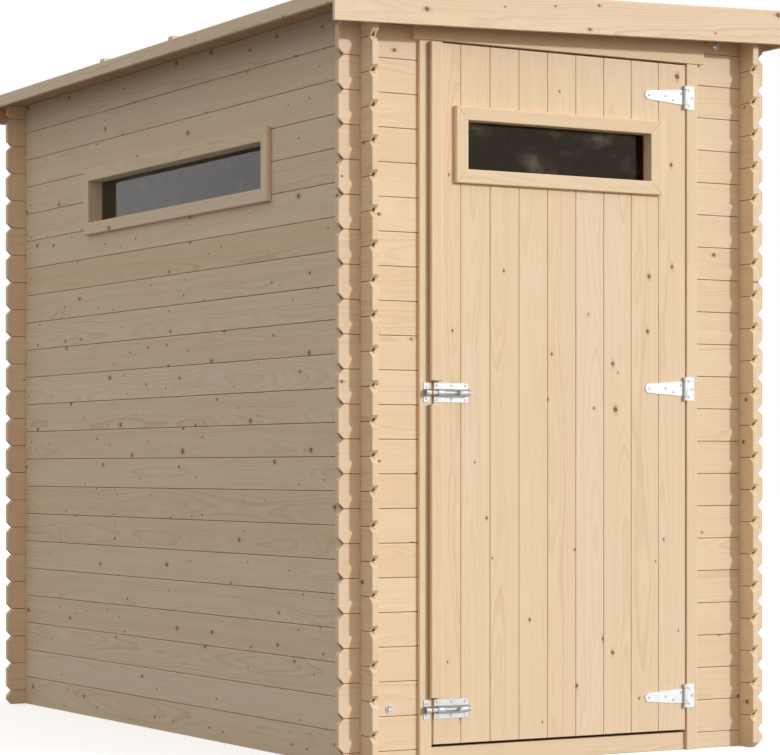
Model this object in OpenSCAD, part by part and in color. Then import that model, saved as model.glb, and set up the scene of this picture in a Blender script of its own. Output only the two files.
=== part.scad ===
// Garden shed of interlocking boards, with a low mono-pitch roof and one plank door.
// +X runs to the right along the front, +Y to the back, +Z up. The origin is on the ground,
// at the centre of the plan. All sizes are millimetres.

/* [Walls] */
// Width of the walls across the front, outside to outside
wall_x = 1212; // [1000:1:1600]
// Depth of the walls along the side, outside to outside
wall_y = 2237; // [1700:1:3000]
// Rows of boards in the low side wall
board_rows = 22; // [18:1:27]
// Height that each wall board covers
board_pitch = 88; // [72:1:108]
// Thickness of the wall boards
wall_t = 19; // [15:1:30]
// Length of a board end beyond the crossing wall
log_end = 62; // [40:1:90]
// Size of the 45 degree cut on the corners of a board end
end_cut = 15; // [6:1:20]
// Rise of the roof across the width of the walls
roof_rise = 42; // [0:1:150]

/* [Roof] */
// Overhang of the roof past the side walls
side_overhang = 124; // [90:1:180]
// Overhang of the roof past the front and back walls
end_overhang = 92; // [80:1:160]
// Thickness of the roof boards
deck_t = 19; // [15:1:30]
// Thickness of the roofing felt
felt_t = 3; // [2:0.5:6]
// Width of the purlin under the middle of the roof
purlin_w = 45; // [30:1:70]
// Height of the purlin
purlin_h = 70; // [40:1:90]
// Width of a batten on the felt
batten_w = 30; // [20:1:50]
// Height of a batten on the felt
batten_h = 13; // [8:1:25]
// Distance between the battens
batten_pitch = 470; // [300:5:600]
// Number of battens
batten_count = 2; // [1:1:3]
// Thickness of the fascia boards
fascia_t = 12; // [9:1:22]
// Height of the front fascia
front_fascia_h = 92; // [60:1:110]
// Height of the back fascia
back_fascia_h = 80; // [50:1:110]
// Depth of the low side's fascia below the roof boards
low_fascia_drop = 14; // [5:1:40]
// Depth of the high side's fascia below the roof boards
high_fascia_drop = 56; // [20:1:70]
// How far the front and back fascias stand above the felt
fascia_lip = 9; // [0:1:20]

/* [Floor] */
// Thickness of the floor boards
floor_t = 18; // [12:1:25]
// Width of a floor bearer
bearer_w = 45; // [30:1:70]
// Number of floor bearers
bearer_count = 4; // [3:1:5]
// Gap between the floor and the walls
floor_gap = 0.5; // [0.3:0.1:0.8]

/* [Door] */
// Width of the door leaf
leaf_w = 795; // [600:5:850]
// Thickness of the door boards
leaf_t = 19; // [15:1:30]
// Gap between the leaf and its frame
leaf_gap = 5; // [5:0.5:8]
// Gap between the leaf and the sill
sill_gap = 8; // [5:1:20]
// Height from the top of the doorway to the low eave
head_drop = 78; // [60:1:120]
// Shift of the doorway along the front wall
door_shift = -0.5; // [-20:0.5:20]
// Width of a door jamb on the face of the wall
jamb_w = 35; // [30:1:60]
// How far the jambs stand proud of the wall
jamb_proud = 11.5; // [8:0.5:18]
// Depth of the groove that takes the ends of the wall boards
jamb_groove = 20; // [10:1:28]
// Height of the header board
header_h = 75; // [50:1:90]
// Thickness of the header board
header_t = 16; // [12:1:25]
// How far the header reaches past each jamb
header_over = 19; // [0:1:30]
// Height of the ledges on the back of the door
ledge_h = 90; // [60:1:120]
// Thickness of the ledges and the brace
ledge_t = 19; // [15:1:25]
// Distance from the edges of the leaf to the ends of the ledges
ledge_inset = 15; // [10:1:40]
// Width of the cover strip on the lock edge
strip_w = 33; // [25:1:50]
// Thickness of the cover strip
strip_t = 19; // [12:1:25]
// Overlap of the cover strip past the edge of the leaf
strip_over = 15; // [8:1:22]

/* [Windows] */
// Width of the window trim boards
trim_w = 36; // [25:1:50]
// Thickness of the window trim boards
trim_t = 15; // [10:1:20]
// Thickness of the frame boards inside a window hole
sash_t = 12; // [8:1:20]
// Thickness of the glass
glass_t = 4; // [3:0.5:6]
// Depth of the groove that holds the glass
glass_groove = 6; // [3:0.5:7]
// Width of the glass that shows in the side window
side_glass_w = 1158; // [700:1:1300]
// Height of the glass that shows in the side window
side_glass_h = 127; // [90:1:160]
// Height from the low eave down to the side window's trim
side_window_drop = 258; // [120:1:400]
// Shift of the side window along the wall, towards the back
side_window_shift = -16; // [-60:1:60]
// Distance from the outer face of the wall to the side window's glass
side_glass_set = 33; // [12:1:40]
// Width of the glass that shows in the door window
door_glass_w = 574; // [400:1:600]
// Height of the glass that shows in the door window
door_glass_h = 126; // [90:1:160]
// Height from the top of the leaf down to the door window's trim
door_window_drop = 159; // [150:1:220]
// Shift of the door window from the middle of the leaf
door_window_shift = -12.5; // [-25:0.5:25]
// Distance from the front of the leaf to the door window's glass
door_glass_set = 22; // [8:1:26]

/* [Hinges and bolts] */
// Radius of the hinge barrels
barrel_r = 5.5; // [4.5:0.5:7]
// Radius of the hinge pins
pin_r = 2.5; // [2:0.5:3]
// Clearance between a pin and its bore
pin_clear = 0.3; // [0.2:0.1:0.5]
// Length of a hinge strap
strap_len = 129; // [100:1:200]
// Height of a hinge strap at its root
strap_h = 41; // [34:1:50]
// Height of a hinge strap at its tip
strap_tip_h = 24; // [16:1:32]
// Thickness of a hinge strap
strap_t = 3; // [2:0.5:4]
// Width of a hinge plate on the jamb
plate_w = 32; // [26:1:36]
// Height of a hinge plate on the jamb
plate_h = 63; // [58:1:80]
// Thickness of a hinge plate
plate_t = 2.5; // [2:0.5:4]
// Radius of a bolt's rod
rod_r = 6; // [4:0.5:7]
// Clearance between a rod and its barrel
rod_clear = 0.5; // [0.3:0.1:0.8]
// Wall of a bolt's barrel
bolt_wall = 2.5; // [1.5:0.5:4]
// Length of a bolt's base plate
bolt_len = 102; // [95:1:140]
// Height of a bolt's base plate
bolt_h = 50; // [40:1:60]
// Travel of a bolt
bolt_travel = 36; // [33:1:40]
// Width of a keeper on the jamb
keeper_w = 16; // [14:1:24]
// Height of a keeper
keeper_h = 50; // [36:1:56]
// Length of a bolt's rod
rod_len = 119; // [110:1:130]

/* [Hidden] */
$fn = 48;

timber = "burlywood";
shade_timber = "tan";
metal = "gainsboro";
pane = "slategray";
felt = "dimgray";

joint_bevel = 1; // keeps two flat pieces of one node apart
run_clear = 5;   // clearance of a moving piece
cut = 50;        // how far a cutting shape runs past what it cuts
roof_seat = 0.2; // the roof boards lie this far above the walls and the purlin

// Outer faces of the walls
x0 = -wall_x / 2;
x1 = wall_x / 2;
y0 = -wall_y / 2;
y1 = wall_y / 2;

eave_h = board_rows * board_pitch;
slope = roof_rise / wall_x;

// Height of the underside of the roof boards at a place across the shed
function roof_z(x) = eave_h + (x - x0) * slope;

roof_top_h = roof_z(x1 + side_overhang) + cut;
deck_x0 = x0 - side_overhang + fascia_t;
deck_x1 = x1 + side_overhang - fascia_t;
deck_y0 = y0 - end_overhang + fascia_t;
deck_y1 = y1 + end_overhang - fascia_t;

// Doorway
door_x = door_shift;
leaf_x0 = door_x - leaf_w / 2;
leaf_x1 = door_x + leaf_w / 2;
door_x0 = leaf_x0 - leaf_gap;
door_x1 = leaf_x1 + leaf_gap;
jamb_x0 = door_x0 - jamb_w;
jamb_x1 = door_x1 + jamb_w;
wall_cut_x0 = jamb_x0 + jamb_groove;
wall_cut_x1 = jamb_x1 - jamb_groove;
floor_top = board_pitch / 2;
sill_h = floor_top + 3; // the sill's tongue stands above the floor
head_z = eave_h - head_drop;
head_lining = 20;
jamb_y0 = y0 - jamb_proud;
jamb_y1 = y0 + wall_t + jamb_proud;

leaf_z0 = sill_h + sill_gap;
leaf_z1 = head_z - leaf_gap;
leaf_recess = 1; // the leaf lies this far behind the face of the jambs
leaf_y0 = jamb_y0 + leaf_recess;
leaf_y1 = leaf_y0 + leaf_t;

// Hinge axis, and the heights of the hinges
axis_x = leaf_x1 - 5;
axis_y = leaf_y0 - 1 - barrel_r;
hinge_z = [leaf_z0 + 92, (leaf_z0 + leaf_z1) / 2 + 23, leaf_z1 - 88];
ledge_z = hinge_z;

// Bolts
bolt_z = [leaf_z0 + 90, (leaf_z0 + leaf_z1) / 2 + 2];
bolt_plate_t = 2;
bore_r = rod_r + rod_clear;
bolt_r = bore_r + bolt_wall;
rod_y = leaf_y0 - bolt_plate_t - bolt_r - 0.5;
bolt_x0 = leaf_x0 + 2;
keeper_set = 9; // distance from the doorway to a keeper
knob_set = 76;  // distance from the tip of a rod to its knob
keeper_x1 = door_x0 - keeper_set;
keeper_x0 = keeper_x1 - keeper_w;
rod_tip_x = keeper_x1 + run_clear;
knob_x = rod_tip_x + knob_set;
knob_r = 4;
knob_slot = knob_r + 1;

// Windows: middles of the glass, and the hole that the frame fills
side_window_z = eave_h - side_window_drop - trim_w - side_glass_h / 2;
door_window_z = leaf_z1 - door_window_drop - trim_w - door_glass_h / 2;
door_window_x = door_x + door_window_shift;
side_sash_depth = side_glass_set + glass_t + 5;
door_sash_depth = door_glass_set + glass_t + 5;

// Places a flat outline, drawn as across and up, on a plane that faces the front.
// The plate runs from the given depth towards the back.
module facing_front(y, t) {
    translate([0, y + t, 0]) rotate([90, 0, 0]) linear_extrude(height = t) children();
}

// Places a flat outline, drawn as back and up, on a plane that faces the side.
module facing_side(x, t) {
    translate([x, 0, 0]) rotate([90, 0, 90]) linear_extrude(height = t) children();
}

// A box given by its two corners
module block(low, high) {
    translate(low) cube(high - low);
}

// A slanted bar: its bottom and top are given heights below and above the roof line.
module along_roof(xa, xb, ya, yb, low, high) {
    facing_front(ya, yb - ya)
        polygon([[xa, roof_z(xa) + low], [xb, roof_z(xb) + low],
                 [xb, roof_z(xb) + high], [xa, roof_z(xa) + high]]);
}

// Keeps what lies under the roof boards
module under_roof() {
    far = wall_y + cut;
    intersection() {
        children();
        facing_front(-far, 2 * far)
            polygon([[2 * x0, -cut], [2 * x1, -cut], [2 * x1, roof_z(2 * x1) - roof_seat],
                     [2 * x0, roof_z(2 * x0) - roof_seat]]);
    }
}

// Joints between rows, for rows that start at a given height
function joints(start) = [for (z = start; z < roof_top_h - end_cut; z = z + board_pitch) z];

// Outline of a wall: its two ends are cut at every joint, as the corners of the boards are.
module wall_outline(a, b, start) {
    rows = joints(start);
    count = len(rows);
    polygon(concat(
        [[a + end_cut, 0], [b - end_cut, 0], [b, end_cut]],
        [for (z = rows) each [[b, z - end_cut], [b - end_cut, z], [b, z + end_cut]]],
        [[b, roof_top_h], [a, roof_top_h]],
        [for (i = [count - 1 : -1 : 0])
            each [[a, rows[i] + end_cut], [a + end_cut, rows[i]], [a, rows[i] - end_cut]]],
        [[a, end_cut]]
    ));
}

// The notches in which the crossing wall's boards lie. Each notch is half a board high.
module comb(a, start) {
    for (z = [start : board_pitch : roof_top_h])
        translate([a, z - board_pitch / 4]) square([wall_t, board_pitch / 2]);
}

// A side wall, its boards starting with a whole one
module side_wall(x) {
    under_roof() facing_side(x, wall_t) difference() {
        wall_outline(y0 - log_end, y1 + log_end, board_pitch);
        comb(y0, 0);
        comb(y1 - wall_t, 0);
        children();
    }
}

// The outline of the front and back walls, whose boards start with a half one
module end_wall_outline() {
    difference() {
        wall_outline(x0 - log_end, x1 + log_end, board_pitch / 2);
        comb(x0, board_pitch / 2);
        comb(x1 - wall_t, board_pitch / 2);
    }
}

// A part of an end wall between two places across the shed and above a height
module end_wall(y, xa, xb, low) {
    difference() {
        under_roof() facing_front(y, wall_t) intersection() {
            end_wall_outline();
            translate([xa, low]) square([xb - xa, roof_top_h - low]);
        }
        purlin_bar(y - cut, y + wall_t + cut, cut);
    }
}

module purlin_bar(ya, yb, top) {
    along_roof(-purlin_w / 2, purlin_w / 2, ya, yb, -purlin_h, top);
}

// A flat ring round a window
module ring(w, h, border) {
    difference() {
        square([w + 2 * border, h + 2 * border], center = true);
        square([w, h], center = true);
    }
}

module left_wall() {
    color(timber) side_wall(x0)
        translate([side_window_shift, side_window_z])
            square([side_glass_w + 2 * sash_t, side_glass_h + 2 * sash_t], center = true);
}

module right_wall() {
    color(timber) side_wall(x1 - wall_t);
}

module back_wall() {
    color(timber) end_wall(y1 - wall_t, x0 - log_end, x1 + log_end, 0);
}

module front_wall_left() {
    color(timber) end_wall(y0, x0 - log_end, wall_cut_x0, 0);
}

module front_wall_right() {
    color(timber) end_wall(y0, wall_cut_x1, x1 + log_end, 0);
}

module front_wall_top() {
    color(timber) end_wall(y0, wall_cut_x0, wall_cut_x1, head_z + head_lining);
}

// The bottom half board of the front wall runs on under the door.
module door_sill() {
    color(timber) block([door_x0, y0, 0], [door_x1, y0 + wall_t, sill_h]);
}

// A jamb is a channel over the cut ends of the wall boards. Its inner lip stands on the floor.
module jamb(xa, xb, web_a, web_b) {
    color(timber) union() {
        block([xa, jamb_y0, 0], [xb, y0, head_z]);
        block([web_a, y0, 0], [web_b, y0 + wall_t, head_z]);
        block([xa, y0 + wall_t, floor_top], [xb, jamb_y1, head_z]);
    }
}

module door_jamb_left() {
    jamb(jamb_x0, door_x0, wall_cut_x0, door_x0);
}

module door_jamb_right() {
    jamb(door_x1, jamb_x1, door_x1, wall_cut_x1);
}

module door_header() {
    color(timber) union() {
        block([jamb_x0 - header_over, y0 - header_t, head_z],
              [jamb_x1 + header_over, y0, head_z + header_h]);
        block([wall_cut_x0, y0, head_z], [wall_cut_x1, y0 + wall_t, head_z + head_lining]);
        block([jamb_x0, y0 + wall_t, head_z], [jamb_x1, jamb_y1, head_z + head_lining - 1]);
    }
}

module floor_bearers() {
    inset = wall_t + floor_gap;
    pitch = (wall_x - 2 * inset - bearer_w) / (bearer_count - 1);
    color(shade_timber)
        for (i = [0 : bearer_count - 1])
            translate([x0 + inset + i * pitch, y0 + inset, 0])
                cube([bearer_w, wall_y - 2 * inset, floor_top - floor_t]);
}

module floor_boards() {
    inset = wall_t + floor_gap;
    color(timber)
        block([x0 + inset, y0 + inset, floor_top - floor_t], [x1 - inset, y1 - inset, floor_top]);
}

module roof_purlin() {
    color(timber) purlin_bar(y0, y1, -roof_seat);
}

module roof_boards() {
    color(timber) along_roof(deck_x0, deck_x1, deck_y0, deck_y1, 0, deck_t);
}

module roof_felt() {
    color(felt) along_roof(deck_x0, deck_x1, deck_y0, deck_y1, deck_t, deck_t + felt_t);
}

module roof_battens() {
    color(timber)
        for (i = [0 : batten_count - 1]) {
            y = (i - (batten_count - 1) / 2) * batten_pitch;
            along_roof(deck_x0, deck_x1, y - batten_w / 2, y + batten_w / 2,
                       deck_t + felt_t, deck_t + felt_t + batten_h);
        }
}

// The front and back fascias run over the ends of the side fascias.
module end_fascia(y, h) {
    top = deck_t + felt_t + fascia_lip;
    color(timber)
        along_roof(x0 - side_overhang, x1 + side_overhang, y, y + fascia_t, top - h, top);
}

module fascia_front() {
    end_fascia(y0 - end_overhang, front_fascia_h);
}

module fascia_back() {
    end_fascia(y1 + end_overhang - fascia_t, back_fascia_h);
}

// A side fascia is two boards that meet in the middle of the side.
module side_fascia(x, drop) {
    color(timber) {
        along_roof(x, x + fascia_t, deck_y0, -joint_bevel / 2, -drop, deck_t + felt_t);
        along_roof(x, x + fascia_t, joint_bevel / 2, deck_y1, -drop, deck_t + felt_t);
    }
}

module fascia_left() {
    side_fascia(deck_x0 - fascia_t, low_fascia_drop);
}

module fascia_right() {
    side_fascia(deck_x1, high_fascia_drop);
}

module side_window_trim() {
    color(timber) facing_side(x0 - trim_t, trim_t)
        translate([side_window_shift, side_window_z]) ring(side_glass_w, side_glass_h, trim_w);
}

module side_window_inner_trim() {
    color(timber) facing_side(x0 + wall_t, trim_t)
        translate([side_window_shift, side_window_z])
            ring(side_glass_w + 2 * sash_t, side_glass_h + 2 * sash_t, trim_w - sash_t);
}

module side_window_frame() {
    color(timber) difference() {
        facing_side(x0, side_sash_depth)
            translate([side_window_shift, side_window_z]) ring(side_glass_w, side_glass_h, sash_t);
        side_pane();
    }
}

module side_pane() {
    facing_side(x0 + side_glass_set, glass_t)
        translate([side_window_shift, side_window_z])
            square([side_glass_w + 2 * glass_groove, side_glass_h + 2 * glass_groove],
                   center = true);
}

module side_window_glass() {
    color(pane) side_pane();
}

// A keeper is a plate on the jamb with a loop that the rod runs through.
module keeper(z) {
    difference() {
        union() {
            block([keeper_x0, jamb_y0 - bolt_plate_t, z - keeper_h / 2],
                  [keeper_x1, jamb_y0, z + keeper_h / 2]);
            block([keeper_x0, rod_y, z - bolt_r], [keeper_x1, jamb_y0, z + bolt_r]);
            translate([keeper_x0, rod_y, z]) rotate([0, 90, 0])
                cylinder(r = bolt_r, h = keeper_w);
        }
        translate([keeper_x0 - cut, rod_y, z]) rotate([0, 90, 0])
            cylinder(r = bore_r, h = keeper_w + 2 * cut);
    }
}

module bolt_keepers() {
    color(metal) for (z = bolt_z) keeper(z);
}

// A hinge plate on the jamb carries the two end knuckles and the pin between them.
module hinge_plate(z) {
    knuckle_z = strap_h / 2 + 1;
    translate([axis_x, axis_y, z]) {
        difference() {
            union() {
                block([0, jamb_y0 - axis_y - plate_t, -plate_h / 2],
                      [plate_w, jamb_y0 - axis_y, plate_h / 2]);
                translate([0, 0, -plate_h / 2]) cylinder(r = barrel_r, h = plate_h);
            }
            block([-2 * barrel_r, -2 * barrel_r, -knuckle_z],
                  [barrel_r + 1, 2 * barrel_r, knuckle_z]);
        }
        translate([0, 0, -plate_h / 2]) cylinder(r = pin_r, h = plate_h);
    }
}

module hinge_plates() {
    color(metal) for (z = hinge_z) hinge_plate(z);
}

// Round heads of the bolts that tie the front wall's boards together
module wall_bolts() {
    low_x = (x0 + jamb_x0) / 2;
    low_z = 150;
    high_x = jamb_x1 + 69;
    high_z = roof_z(high_x) - 60;
    color(metal)
        for (at = [[low_x, low_z], [high_x, high_z]])
            translate([at[0], y0, at[1]]) rotate([90, 0, 0]) {
                cylinder(r = 10, h = 2);
                translate([0, 0, 2]) cylinder(r1 = 8, r2 = 5, h = 4);
            }
}

module door_leaf() {
    color(timber) facing_front(leaf_y0, leaf_t) difference() {
        translate([leaf_x0, leaf_z0]) square([leaf_w, leaf_z1 - leaf_z0]);
        translate([door_window_x, door_window_z])
            square([door_glass_w + 2 * sash_t, door_glass_h + 2 * sash_t], center = true);
    }
}

module door_ledges() {
    color(timber)
        for (z = ledge_z)
            block([leaf_x0 + ledge_inset, leaf_y1, z - ledge_h / 2],
                  [leaf_x1 - ledge_inset, leaf_y1 + ledge_t, z + ledge_h / 2]);
}

// The brace rises from the hinge side of the bottom ledge to the lock side of the middle one.
module door_brace() {
    low = ledge_z[0] + ledge_h / 2;
    high = ledge_z[1] - ledge_h / 2;
    foot = leaf_x1 - ledge_inset - 30;
    head = leaf_x0 + ledge_inset + 30;
    brace_w = 90;
    color(timber) facing_front(leaf_y1, ledge_t)
        polygon([[foot - brace_w, low], [foot, low], [head + brace_w, high], [head, high]]);
}

module door_window_trim() {
    color(timber) facing_front(leaf_y0 - trim_t, trim_t)
        translate([door_window_x, door_window_z]) ring(door_glass_w, door_glass_h, trim_w);
}

module door_window_inner_trim() {
    color(timber) facing_front(leaf_y1, trim_t)
        translate([door_window_x, door_window_z])
            ring(door_glass_w + 2 * sash_t, door_glass_h + 2 * sash_t, trim_w - sash_t);
}

module door_window_frame() {
    color(timber) difference() {
        facing_front(leaf_y0, door_sash_depth)
            translate([door_window_x, door_window_z]) ring(door_glass_w, door_glass_h, sash_t);
        door_pane();
    }
}

module door_pane() {
    facing_front(leaf_y0 + door_glass_set, glass_t)
        translate([door_window_x, door_window_z])
            square([door_glass_w + 2 * glass_groove, door_glass_h + 2 * glass_groove],
                   center = true);
}

module door_window_glass() {
    color(pane) door_pane();
}

// The strip covers the gap on the lock side. It is cut back where it passes over the jamb, and
// it stops above and below each bolt.
module door_cover_strip() {
    pause = keeper_h / 2 + run_clear;
    back = leaf_y0 - leaf_recess - run_clear;
    color(timber)
        for (span = [[bolt_z[0] + pause, bolt_z[1] - pause], [bolt_z[1] + pause, leaf_z1]]) {
            block([leaf_x0, leaf_y0 - strip_t, span[0]],
                  [leaf_x0 - strip_over + strip_w, leaf_y0, span[1]]);
            block([leaf_x0 - strip_over, leaf_y0 - strip_t, span[0]],
                  [leaf_x0, back, span[1]]);
        }
}

// A strap on the leaf carries the middle knuckle, which turns on the pin.
module hinge_strap(z) {
    tip_r = strap_tip_h / 2;
    tip_x = tip_r - strap_len;
    translate([axis_x, axis_y, z]) difference() {
        union() {
            facing_front(leaf_y0 - axis_y - strap_t, strap_t) union() {
                polygon([[0, -strap_h / 2], [0, strap_h / 2], [tip_x, tip_r], [tip_x, -tip_r]]);
                translate([tip_x, 0]) circle(r = tip_r);
            }
            translate([0, 0, -strap_h / 2]) cylinder(r = barrel_r, h = strap_h);
        }
        translate([0, 0, -strap_h]) cylinder(r = pin_r + pin_clear, h = 2 * strap_h);
    }
}

module hinge_straps() {
    color(metal) for (z = hinge_z) hinge_strap(z);
}

// A bolt's base is a plate with a barrel on it. The knob runs in the slot of the barrel.
module bolt_base(z) {
    barrel_x0 = bolt_x0 + 3;
    barrel_len = bolt_len - 6;
    difference() {
        union() {
            block([bolt_x0, leaf_y0 - bolt_plate_t, z - bolt_h / 2],
                  [bolt_x0 + bolt_len, leaf_y0, z + bolt_h / 2]);
            block([barrel_x0, rod_y, z - bolt_r],
                  [barrel_x0 + barrel_len, leaf_y0 - bolt_plate_t / 2, z + bolt_r]);
            translate([barrel_x0, rod_y, z]) rotate([0, 90, 0])
                cylinder(r = bolt_r, h = barrel_len);
        }
        translate([barrel_x0 - cut, rod_y, z]) rotate([0, 90, 0])
            cylinder(r = bore_r, h = barrel_len + 2 * cut);
        block([knob_x - bolt_travel - knob_slot, rod_y - cut, z - knob_slot],
              [knob_x + knob_slot, rod_y, z + knob_slot]);
    }
}

module bolt_bases() {
    color(metal) for (z = bolt_z) bolt_base(z);
}

// A rod lies drawn back, with its tip just clear of the keeper.
module bolt_rod(z) {
    knob_len = bolt_r + 9;
    color(metal) union() {
        translate([rod_tip_x, rod_y, z]) rotate([0, 90, 0]) cylinder(r = rod_r, h = rod_len);
        translate([knob_x, rod_y, z]) rotate([90, 0, 0]) cylinder(r = knob_r, h = knob_len);
        translate([knob_x, rod_y - knob_len, z]) sphere(r = knob_r + 2);
    }
}

module middle_bolt_rod() {
    bolt_rod(bolt_z[1]);
}

module bottom_bolt_rod() {
    bolt_rod(bolt_z[0]);
}

left_wall();
right_wall();
back_wall();
front_wall_left();
front_wall_right();
front_wall_top();
door_sill();
door_jamb_left();
door_jamb_right();
door_header();
floor_bearers();
floor_boards();
roof_purlin();
roof_boards();
roof_felt();
roof_battens();
fascia_front();
fascia_back();
fascia_left();
fascia_right();
side_window_trim();
side_window_inner_trim();
side_window_frame();
side_window_glass();
bolt_keepers();
hinge_plates();
wall_bolts();
door_leaf();
door_ledges();
door_brace();
door_window_trim();
door_window_inner_trim();
door_window_frame();
door_window_glass();
door_cover_strip();
hinge_straps();
bolt_bases();
middle_bolt_rod();
bottom_bolt_rod();
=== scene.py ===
"""The looks of a small timber garden shed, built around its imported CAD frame.

Every board, trim, screw and sheet of felt is made here in metres, in the frame's own axes:
+X to the right along the front, +Y to the back, +Z up.
"""

import math
import random

import bmesh
import bpy
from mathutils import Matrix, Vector


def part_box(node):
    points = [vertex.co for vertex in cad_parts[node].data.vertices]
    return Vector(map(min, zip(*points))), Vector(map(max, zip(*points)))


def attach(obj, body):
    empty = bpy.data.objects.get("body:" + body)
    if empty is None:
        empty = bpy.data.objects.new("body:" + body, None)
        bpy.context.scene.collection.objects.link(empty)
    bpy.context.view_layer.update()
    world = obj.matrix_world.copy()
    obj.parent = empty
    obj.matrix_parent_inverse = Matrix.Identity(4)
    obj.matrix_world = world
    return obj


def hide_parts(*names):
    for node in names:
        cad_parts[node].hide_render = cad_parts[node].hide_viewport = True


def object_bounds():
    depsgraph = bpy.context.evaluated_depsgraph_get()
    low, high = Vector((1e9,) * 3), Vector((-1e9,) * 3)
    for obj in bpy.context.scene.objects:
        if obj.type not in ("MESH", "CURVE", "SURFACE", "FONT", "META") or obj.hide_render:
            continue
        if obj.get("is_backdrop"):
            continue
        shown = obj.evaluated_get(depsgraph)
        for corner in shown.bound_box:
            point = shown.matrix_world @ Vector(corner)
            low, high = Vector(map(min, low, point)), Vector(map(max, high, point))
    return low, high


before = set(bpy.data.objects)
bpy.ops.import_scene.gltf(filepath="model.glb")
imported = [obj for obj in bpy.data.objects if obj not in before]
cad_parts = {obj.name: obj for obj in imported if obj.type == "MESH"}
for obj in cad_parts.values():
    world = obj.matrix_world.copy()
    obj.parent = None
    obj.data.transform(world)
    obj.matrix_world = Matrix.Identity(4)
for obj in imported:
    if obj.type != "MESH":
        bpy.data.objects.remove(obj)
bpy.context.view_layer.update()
rng = random.Random(20)

# ---- Sizes of the timber, in metres ----
PITCH = 0.088  # height that one wall board covers
END_CUT = 0.015  # 45 degree cut on the corners of a board end
HALF_JOINT = 0.0008  # half of the open joint between two tongued boards
HALF_GAP = 0.0003  # half of the gap between two boards that are nailed together
TONGUE = 0.006  # height and width of a tongue, and of the groove for it
V_EDGE = 0.0011  # chamfer on the long edges of a wall board
NOTCH_GAP = 0.0004  # clearance in the notches at the crossings
SLIVER = 0.012  # a strip of board beside a window hole that is narrower than this is cut away
RIM = 0.004  # width of the worn rim along the edges of a board
DOOR_BOARD = 0.089  # width that one door board covers
ROOF_BOARD = 0.0888  # width that one roof board covers
FLOOR_BOARD = 0.0915  # width that one floor board covers
LAP = 0.06  # overlap of two sheets of felt
ROUND = 0.0018  # rounded edges of the jambs, the header and the fascias
SASH = 0.012  # how far a window's frame stands inside its outer trim
STRIP_GAP = 0.005  # from the front of a jamb to the step in the door's cover strip
FACE = 0.001  # tolerance when points are picked by their height

X, Y, Z = Vector((1, 0, 0)), Vector((0, 1, 0)), Vector((0, 0, 1))
ALONG_X = (X, Z, Y)
ALONG_Y = (Y, Z, X)
ALONG_Z = (Z, X, Y)


def clusters(node, axis, gap):
    """The boxes of a node's separate copies, which lie apart along one axis."""
    points = sorted((v.co.copy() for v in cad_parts[node].data.vertices), key=lambda p: p[axis])
    groups = [[points[0]]]
    for p in points[1:]:
        if p[axis] - groups[-1][-1][axis] > gap:
            groups.append([])
        groups[-1].append(p)
    return [
        (Vector([min(p[i] for p in g) for i in range(3)]), Vector([max(p[i] for p in g) for i in range(3)]))
        for g in groups
    ]


def stretches(node, axis):
    """The lengths of a node's boards that lie end to end, as pairs of limits along one axis."""
    values = sorted({round(v.co[axis], 5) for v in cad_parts[node].data.vertices})
    return list(zip(values[::2], values[1::2]))


# ---- Places, from the frame ----
left_low, left_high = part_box("left_wall")
right_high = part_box("right_wall")[1]
front_low, front_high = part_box("front_wall_left")
back_low, back_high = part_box("back_wall")
board_t = left_high.x - left_low.x
wall_x0, wall_x1 = left_low.x, right_high.x
wall_y0, wall_y1 = front_low.y, back_high.y
jamb_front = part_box("door_jamb_left")[0].y
slope = (right_high.z - left_high.z) / (right_high.x - left_high.x)


def roof_line(x):
    """Height of the tops of the walls at a place across the shed."""
    return left_high.z + (x - left_high.x) * slope


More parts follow.
